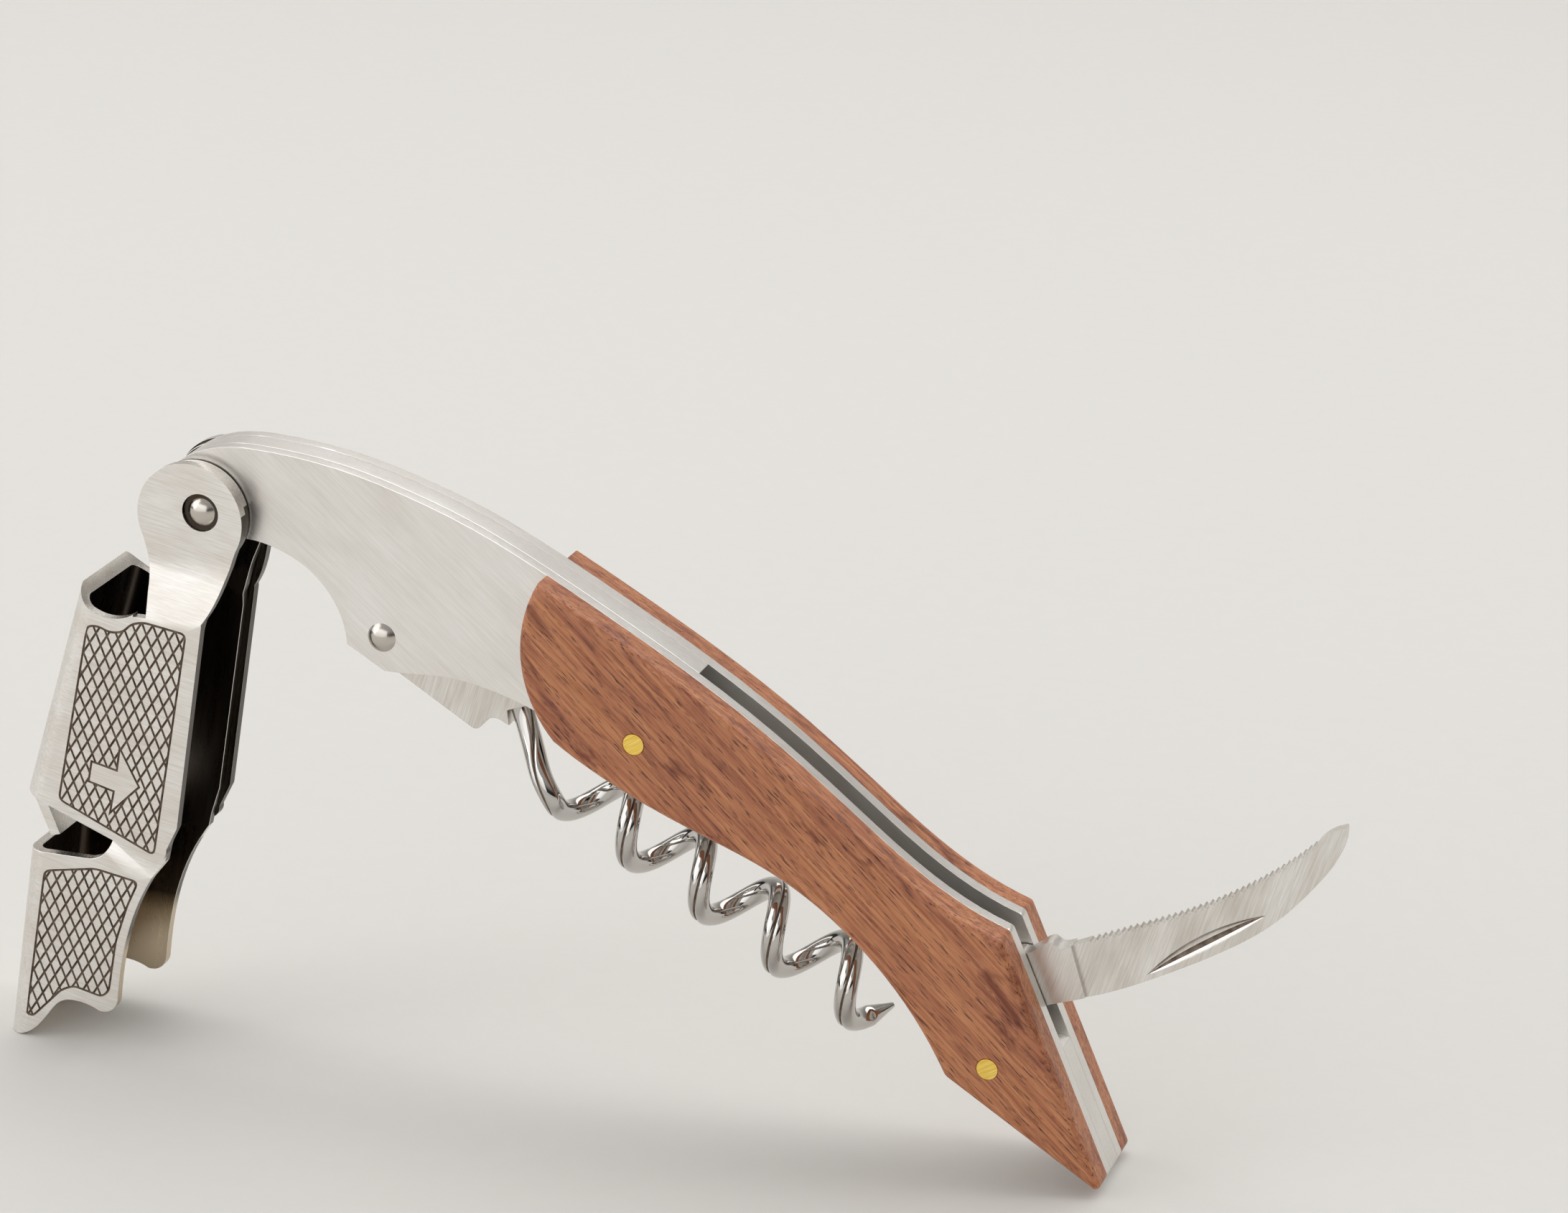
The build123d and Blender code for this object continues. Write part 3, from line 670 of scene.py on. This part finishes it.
def wormPath():
    # the wire's middle line: out of the carrier, round the helix and straight on to the point
    look = wormLook
    along = np.array((math.cos(look["tilt"]), 0, math.sin(look["tilt"])))
    foot = np.array((wormPivotOnHandle[0], 0, wormPivotOnHandle[1] - look["dropMm"]))
    lead = look["leadAngle"]
    start = foot + along * (look["firstLowMm"] - look["pitchMm"] * lead / (2 * math.pi))
    near = np.array((0, -1.0, 0))
    down = np.cross(along, near)
    first = near * math.sin(lead) + down * math.cos(lead)
    second = np.cross(along, first)
    radius = (look["outerMm"] - look["wireMm"]) / 2
    t = np.linspace(0, look["turns"], int(look["turns"] * look["stepsPerTurn"]))
    angle = 2 * math.pi * t[:, None]
    helix = start + along * look["pitchMm"] * t[:, None] + radius * (
        first * np.cos(angle) + second * np.sin(angle)
    )
    slope = look["rootSlope"]
    root = np.array((look["root"][0], 0, look["root"][1]))
    knots = np.array([root, *look["leadKnots"], helix[0]])
    startWay = np.array((math.cos(slope), 0, -math.sin(slope)))
    endWay = helix[1] - helix[0]
    endWay /= np.linalg.norm(endWay)
    # a smooth curve through the knots that leaves and arrives in the given directions
    steps = np.linalg.norm(np.diff(knots, axis=0), axis=1)
    size = len(knots)
    matrix = np.zeros((size, size))
    wanted = np.zeros((size, 3))
    matrix[0, 0] = matrix[-1, -1] = 1
    wanted[0], wanted[-1] = startWay, endWay
    for i in range(1, size - 1):
        matrix[i, i - 1], matrix[i, i], matrix[i, i + 1] = steps[i], 2 * (
            steps[i - 1] + steps[i]
        ), steps[i - 1]
        rise = (
            knots[i + 1] - knots[i]
        ) * steps[i - 1] / steps[i] + (knots[i] - knots[i - 1]) * steps[i] / steps[i - 1]
        wanted[i] = 3 * rise
    ways = np.linalg.solve(matrix, wanted)
    leadPoints = []
    for i in range(size - 1):
        for s in np.linspace(0, 1, look["leadSteps"], endpoint=False):
            h00, h10 = 2 * s**3 - 3 * s**2 + 1, s**3 - 2 * s**2 + s
            h01, h11 = -2 * s**3 + 3 * s**2, s**3 - s**2
            place = h00 * knots[i] + h01 * knots[i + 1]
            leadPoints.append(place + (h10 * ways[i] + h11 * ways[i + 1]) * steps[i])
    last = helix[-1] - helix[-2]
    last /= np.linalg.norm(last)
    tip = [helix[-1] + last * s for s in np.linspace(0, look["tipMm"], look["tipSteps"])[1:]]
    path = np.vstack([leadPoints, helix, tip])
    radii = np.full(len(path), look["wireMm"] / 2)
    taper = np.linspace(0, 1, look["tipSteps"])[1:]
    radii[-len(taper):] = look["wireMm"] / 2 * (1 - taper) + look["tipRadiusMm"] * taper
    return path, radii, foot, along


def wormPiece():
    # round wire with a fine groove along its outside, drawn down to a point
    path, radii, foot, along = wormPath()
    look = wormLook
    mesh = bmesh.new()
    ways = np.gradient(path, axis=0)
    ways /= np.linalg.norm(ways, axis=1)[:, None]
    rings = []
    for place, way, radius in zip(path, ways, radii):
        out = place - foot - along * np.dot(place - foot, along)
        out -= way * np.dot(out, way)
        out /= np.linalg.norm(out)
        side = np.cross(way, out)
        share = min(1.0, radius * 2 / look["wireMm"])
        ring = []
        for n in range(look["around"]):
            angle = 2 * math.pi * n / look["around"]
            bend = min(angle, 2 * math.pi - angle)
            reach = radius - look["grooveMm"] * share * math.exp(-((bend / look["grooveWidth"]) ** 2))
            spot = place + out * reach * math.cos(angle) + side * reach * math.sin(angle)
            ring.append(mesh.verts.new(onHandle(*spot)))
        rings.append(ring)
    for low, high in zip(rings, rings[1:]):
        for n in range(look["around"]):
            m = (n + 1) % look["around"]
            wall = mesh.faces.new((low[n], low[m], high[m], high[n]))
            # painted shade: the groove's floor faces are painted dark
            wall.material_index = 1 if n in (0, look["around"] - 1) else 0
    mesh.faces.new(rings[0][::-1])
    mesh.faces.new(rings[-1])
    bmesh.ops.recalc_face_normals(mesh, faces=mesh.faces)
    return finishPiece(mesh, "wormWire", [mirrorSteel, residueAndShade], "screw", ["worm"], 60)


wormWire = wormPiece()
print("worm wound")


# plates, pins and rivets take broken edges and an even shading

plateLooks = {
    "linerNear": ("liner_near", "handle", brushedStainless, "brushed_steel", 0.12),
    "linerFar": ("liner_far", "handle", brushedStainless, "brushed_steel", 0.12),
    "spineSpacer": ("spine_spacer", "handle", brushedStainless, "brushed_steel", 0.06),
    "tailSpacer": ("tail_spacer", "handle", brushedStainless, "brushed_steel", 0.06),
    "knifeBackspring": ("knife_spring", "backspring", brushedStainless, "brushed_steel", 0.05),
    "wormCarrier": ("worm_carrier", "screw", groundBladeSteel, "brushed_steel", 0.12),
    "wormRivet": ("worm_rivet", "handle", domeSteel, "polished_steel", 0.0),
    "leverWasherNear": ("lever_washer_near", "handle", mirrorSteel, "polished_steel", 0.0),
    "leverWasherFar": ("lever_washer_far", "handle", mirrorSteel, "polished_steel", 0.0),
    "knifePin": ("knife_pin", "handle", brushedStainless, "brushed_steel", 0.0),
    "knifeWasherNear": ("knife_washer_near", "handle", brass, "brass", 0.0),
    "knifeWasherFar": ("knife_washer_far", "handle", brass, "brass", 0.0),
    "linerPins": ("liner_pins", "handle", brushedStainless, "brushed_steel", 0.0),
    "scalePinFront": ("scale_pin_front", "handle", brass, "brass", 0.04),
    "scalePinRear": ("scale_pin_rear", "handle", brass, "brass", 0.04),
}
for name, (node, body, material, slot, cut) in plateLooks.items():
    mesh = weldedMesh(node)
    if cut:
        roundEdges(mesh, sharpEdges(mesh), cut, 2)
    finishPiece(mesh, name, [material], body, [node])
print("plates and pins made")


leverRivetLook = {"domeMm": 1.55, "seatMm": 4.9}


def leverRivetPiece():
    # the dome is polished; the gap round it lies in shadow and is painted dark as painted shade
    mesh = weldedMesh("lever_rivet")
    for face in mesh.faces:
        centre = face.calc_center_median()
        reach = max(math.hypot(v.co.x - leverPivot.x, v.co.z - leverPivot.z) for v in face.verts)
        if abs(centre.y) > leverRivetLook["seatMm"] * mm and reach > (leverRivetLook["domeMm"] + 0.03) * mm:
            # painted shade: the seat faces round the dome take the dark material
            face.material_index = 1
    return finishPiece(
        mesh, "leverRivet", [domeSteel, shadeAndReflectionStainless], "handle", ["lever_rivet"]
    )


leverRivetPiece()


# knife

bladeLook = {
    # the scoop runs out where the nick narrows
    "halfMm": 0.7, "nickFloorMm": 0.35, "nickMm": 0.42, "fadeMm": 1.1,
    "deepestAt": 0.38, "shade": (0.30, 0.60),  # shares of the nick's height, from its lower edge
    "rows": (0.15, 0.3, 0.45, 0.6, 0.75, 0.88), "columns": 24,
}


def largestPatch(faces):
    # the connected group of these faces that covers the most area
    left, best, bestArea = set(faces), [], 0
    while left:
        patch = [left.pop()]
        for face in patch:
            for other in (f for edge in face.edges for f in edge.link_faces):
                if other in left:
                    left.discard(other)
                    patch.append(other)
        area = sum(face.calc_area() for face in patch)
        if area > bestArea:
            best, bestArea = patch, area
    return best


def bladePiece():
    # the nail nick is scooped: shallow towards the edge, steep towards the back
    look = bladeLook
    mesh = weldedMesh("knife_blade")
    scooped, slack = [], 0.01
    for face in mesh.faces:
        heights = [-v.co.y / mm for v in face.verts]
        between = min(heights) > look["nickFloorMm"] - slack and max(heights) < look["halfMm"] + slack
        if between and sum(heights) / len(heights) < look["halfMm"] - 2 * slack:
            scooped.append(face)
    bmesh.ops.delete(mesh, geom=largestPatch(scooped), context="FACES")
    rim = [e for e in mesh.edges if len(e.link_faces) == 1]
    loop = orderedLoops(rim)[0]
    ends = max(
        ((i, j) for i in range(len(loop)) for j in range(i)),
        key=lambda pair: math.dist(loop[pair[0]], loop[pair[1]]),
    )
    first, last = min(ends), max(ends)
    sides = [loop[first:last + 1], loop[last:] + loop[:first + 1]]

    def chainDistance(p, chain):
        return min(distanceTo(p, [a, b]) for a, b in zip(chain, chain[1:]))

    sides.sort(key=lambda chain: np.mean([z for x, z in chain]))  # lower chain first
    rows = []
    for share in look["rows"]:
        row = []
        for n in range(1, look["columns"]):
            t = n / look["columns"]
            points = []
            for chain in sides:
                ordered = chain if chain[0][0] < chain[-1][0] else chain[::-1]
                at = t * (len(ordered) - 1)
                k = min(int(at), len(ordered) - 2)
                points.append(Vector(ordered[k]).lerp(Vector(ordered[k + 1]), at - k))
            row.append(tuple(points[0].lerp(points[1], share)))
        rows.extend(zip(row, row[1:]))

    def cutAt(p):
        low, high = (chainDistance(p, chain) for chain in sides)
        share = low / max(low + high, 1e-6)
        bent = share ** (math.log(0.5) / math.log(1 - look["deepestAt"]))
        return look["nickMm"] * math.sin(math.pi * bent) * min(1.0, (low + high) / look["fadeMm"])

    # painted shade: a band of the scoop between the given shares of its height is painted dark
    def shadeAt(p):
        low, high = (chainDistance(p, chain) for chain in sides)
        return 1 if look["shade"][0] < low / (low + high) < look["shade"][1] else 0

    fillSurface(mesh, rim, -1, [], rows, lambda p: look["halfMm"] - cutAt(p), shadeAt)
    return finishPiece(
        mesh, "knifeBlade", [groundBladeSteel, residueAndShade], "knife", ["knife_blade"]
    )


bladePiece()
print("blade made")


# wood scales

scaleLook = {
    "outerMm": 6.25, "roundMm": 0.95, "ringsAt": (0.03, 0.12, 0.27, 0.47, 0.72, 1.0),  # shares of the round
    "pinAt": [(49.8, 16.2), (99.6, 18.2)], "pinRadiusMm": 1.16, "pinRingMm": 0.10, "pinSteps": 40,
}


def scalePiece(node, name, side):
    # the edge is sanded round and each brass pin sits in a faint dark ring
    look = scaleLook
    mesh = weldedMesh(node)
    inner = [f for f in mesh.faces if f.normal.y * side < -0.999]
    rim = sideRim(mesh, inner)
    outline = max(orderedLoops(rim), key=lambda loop: max(x for x, z in loop) - min(x for x, z in loop))
    doomed = [f for f in mesh.faces if f not in set(inner)]
    bmesh.ops.delete(mesh, geom=doomed, context="FACES")
    rim = [e for e in mesh.edges if len(e.link_faces) == 1]
    base = look["outerMm"] - look["roundMm"]
    made = bmesh.ops.extrude_edge_only(mesh, edges=rim)
    pins = [(p.x / mm, p.z / mm) for p in (onHandle(u, 0, v) for u, v in look["pinAt"])]

    def pinGap(p):
        return min(math.dist(p, pin) for pin in pins) - look["pinRadiusMm"]

    for v in (g for g in made["geom"] if isinstance(g, bmesh.types.BMVert)):
        spot = (v.co.x / mm, v.co.z / mm)
        v.co.y = side * (look["outerMm"] - look["pinRingMm"] if pinGap(spot) < 0.1 else base) * mm

    def heightAt(p):
        deep = max(0.0, look["roundMm"] - distanceTo(p, outline))
        ring = max(0.0, look["pinRingMm"] - pinGap(p))
        return base + math.sqrt(max(0.0, look["roundMm"] ** 2 - deep**2)) - ring

    top = [e for e in mesh.edges if len(e.link_faces) == 1]
    doubleArea = sum(x1 * z2 - x2 * z1 for (x1, z1), (x2, z2) in zip(outline, outline[1:] + outline[:1]))
    facing = 1 if doubleArea > 0 else -1
    loops = [offsetLoop(outline, -facing * look["roundMm"] * share) for share in look["ringsAt"]]
    ring = [
        (math.cos(a), math.sin(a)) for a in np.linspace(0, 2 * math.pi, look["pinSteps"], endpoint=False)
    ]
    reach = look["pinRadiusMm"] + look["pinRingMm"]
    loops += [[(x + c * reach, z + q * reach) for c, q in ring] for x, z in pins]
    fillSurface(mesh, top, side, loops, [], heightAt, lambda p: 0)
    bmesh.ops.recalc_face_normals(mesh, faces=mesh.faces)
    return finishPiece(mesh, name, [rosewood], "handle", [node], 42)


scalePiece("scale_near", "woodScaleNear", -1)
scalePiece("scale_far", "woodScaleFar", 1)
print("scales made")


# floor, light and camera

studio = {
    "floor": "#cdcbc7", "floorSize": 1.6, "target": (0.01504, 0, 0.05915), "camera": (
        0.16313, -0.42772, 0.22330
    ),
    "lens": 107.14, "worldStrength": 0.6, "backdrop": "#dcdad7", "floorColumns": 12,
    "floorFront": -1.6, "bendAt": 0.7, "bendRadius": 0.5, "wallTop": 1.6,
    "lights": [
        ("softLeft", (-1.05, -0.20, 0.70), 1.5, 1.2, 8.0),
        ("lowFront", (-0.45, -1.15, 0.30), 2.2, 1.2, 10.5),
        ("softTop", (0.1, 0.45, 1.0), 1.6, 1.0, 8.5),
        ("rimRight", (0.95, 0.25, 0.5), 0.25, 0.7, 2.2),
    ],
}


def makeFloor():
    # a pale sweep: flat under the tool, then curving up far behind it
    mesh = bmesh.new()
    half, columns = studio["floorSize"], studio["floorColumns"]
    bend, radius = studio["bendAt"], studio["bendRadius"]
    profile = [(studio["floorFront"], 0.0), (0.0, 0.0), (bend, 0.0)]
    for turn in np.linspace(0.15, math.pi / 2, 9):
        profile.append((bend + radius * math.sin(turn), radius - radius * math.cos(turn)))
    profile.append((bend + radius, studio["wallTop"]))
    grid = [
        [mesh.verts.new((-half + 2 * half * i / columns, y, z)) for i in range(columns + 1)]
        for y, z in profile
    ]
    for low, high in zip(grid, grid[1:]):
        for i in range(columns):
            mesh.faces.new((low[i], low[i + 1], high[i + 1], high[i]))
    for face in mesh.faces:
        face.smooth = True
    data = bpy.data.meshes.new("paperSweep")
    mesh.to_mesh(data)
    mesh.free()
    # matt backdrop paper: no gloss, a faint fibre tone
    material, shader = newMaterial("mattBackdropPaper", {"Roughness": 0.9, "Specular IOR Level": 0.2})
    place = stretchedCoordinates(material, 0, (1 / (3 * mm),) * 3)
    fibres = addNode(
        material, "ShaderNodeTexNoise", {"Scale": 1.0, "Detail": 3.0}, {"Vector": place.outputs["Vector"]}
    )
    tint = addNode(
        material, "ShaderNodeValToRGB",
        {"stops": [(0.3, colour("#cccac6")), (0.7, colour(studio["floor"]))]},
        {"Fac": fibres.outputs["Fac"]},
    )
    material.node_tree.links.new(tint.outputs["Color"], shader.inputs["Base Color"])
    data.materials.append(material)
    floor = bpy.data.objects.new("paperSweep", data)
    bpy.context.scene.collection.objects.link(floor)


def makeLights():
    for name, place, width, height, power in studio["lights"]:
        light = bpy.data.lights.new(name, "AREA")
        light.shape = "RECTANGLE"
        light.size, light.size_y, light.energy = width, height, power
        lamp = bpy.data.objects.new(name, light)
        bpy.context.scene.collection.objects.link(lamp)
        lamp.location = place
        aim = Vector(studio["target"]) - Vector(place)
        lamp.rotation_euler = aim.to_track_quat("-Z", "Y").to_euler()
    world = bpy.data.worlds.new("paleStudio")
    bpy.context.scene.world = world
    world.use_nodes = True
    tree = world.node_tree
    tree.nodes.clear()
    place = addNode(world, "ShaderNodeTexCoord")
    split = addNode(world, "ShaderNodeSeparateXYZ", links={"Vector": place.outputs["Generated"]})
    # the metal mirrors a dark room below a bright ceiling; the camera itself sees plain backdrop
    height = addNode(
        world, "ShaderNodeMapRange", {"From Min": -1.0, "From Max": 1.0}, {"Value": split.outputs["Z"]}
    )
    room = addNode(
        world, "ShaderNodeValToRGB",
        {
            "stops": [
                (0.0, colour("#7c7976")), (0.50, colour("#2c2b2b")), (0.58, colour("#4d4c4b")),
                (0.68, colour("#cfcdca")), (1.0, colour("#f4f3f1")),
            ]
        },
        {"Fac": height.outputs["Result"]},
    )
    seen = addNode(world, "ShaderNodeLightPath")
    shown = addNode(
        world, "ShaderNodeMix", {"data_type": "RGBA"},
        {0: seen.outputs["Is Camera Ray"], 6: room.outputs["Color"]},
    )
    shown.inputs[7].default_value = colour(studio["backdrop"])
    glow = addNode(
        world, "ShaderNodeBackground", {"Strength": studio["worldStrength"]}, {"Color": shown.outputs[2]}
    )
    addNode(world, "ShaderNodeOutputWorld", links={"Surface": glow.outputs["Background"]})


def makeCamera():
    data = bpy.data.cameras.new("mainCamera")
    data.lens, data.sensor_width, data.sensor_fit = studio["lens"], 36, "HORIZONTAL"
    data.clip_start, data.clip_end = 0.01, 20
    camera = bpy.data.objects.new("mainCamera", data)
    bpy.context.scene.collection.objects.link(camera)
    camera.location = studio["camera"]
    aim = Vector(studio["target"]) - Vector(studio["camera"])
    camera.rotation_euler = aim.to_track_quat("-Z", "Y").to_euler()
    bpy.context.scene.camera = camera


makeFloor()
makeLights()
makeCamera()
bpy.context.scene.view_settings.view_transform = "Standard"
print("studio set")
